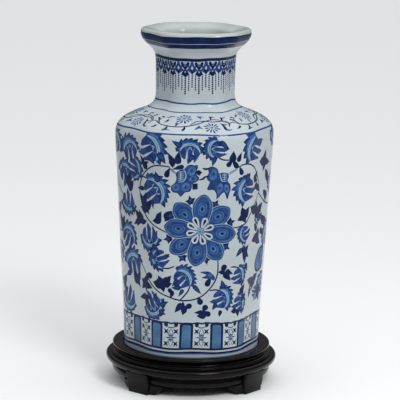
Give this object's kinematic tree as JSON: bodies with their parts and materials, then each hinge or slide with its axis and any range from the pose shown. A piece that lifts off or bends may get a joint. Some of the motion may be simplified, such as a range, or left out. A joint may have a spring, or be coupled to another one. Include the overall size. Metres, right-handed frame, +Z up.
{
  "type": "porcelain vase on stand",
  "caption": "Hexagonal mallet-shaped blue and white porcelain vase with a flared mouth, resting in the recess of a round dark wooden stand on bracket feet.",
  "frame": {"origin": "on the table surface, on the axis of the stand and vase", "axes": "+Z up along the vase's axis, -Y towards the viewer square to the vase's front side, +X to the viewer's right"},
  "size_m": [0.1716, 0.1716, 0.3559],
  "materials": {
    "porcelain": "glossy clear glaze over cobalt-blue painting on a cool white body",
    "lacquered_wood": "semi-gloss black-brown lacquer",
    "bare_wood": "bare turned hardwood dowel"
  },
  "bodies": {
    "stand": {"stand_base_ring": "lacquered_wood", "stand_waist_ring": "lacquered_wood", "stand_seat_disc": "lacquered_wood", "stand_rim_ring": "lacquered_wood", "foot_front_left": "lacquered_wood", "foot_front_right": "lacquered_wood", "foot_back_right": "lacquered_wood", "foot_back_left": "lacquered_wood", "foot_dowel_front_left": "bare_wood", "foot_dowel_front_right": "bare_wood", "foot_dowel_back_right": "bare_wood", "foot_dowel_back_left": "bare_wood"},
    "vase": {"vase_body": "porcelain"}
  },
  "joints": [
    {"name": "vase_lift", "type": "slide", "parent": "stand", "child": "vase", "axis": [0, 0, 1], "range_m": [0, 0.08]}
  ]
}
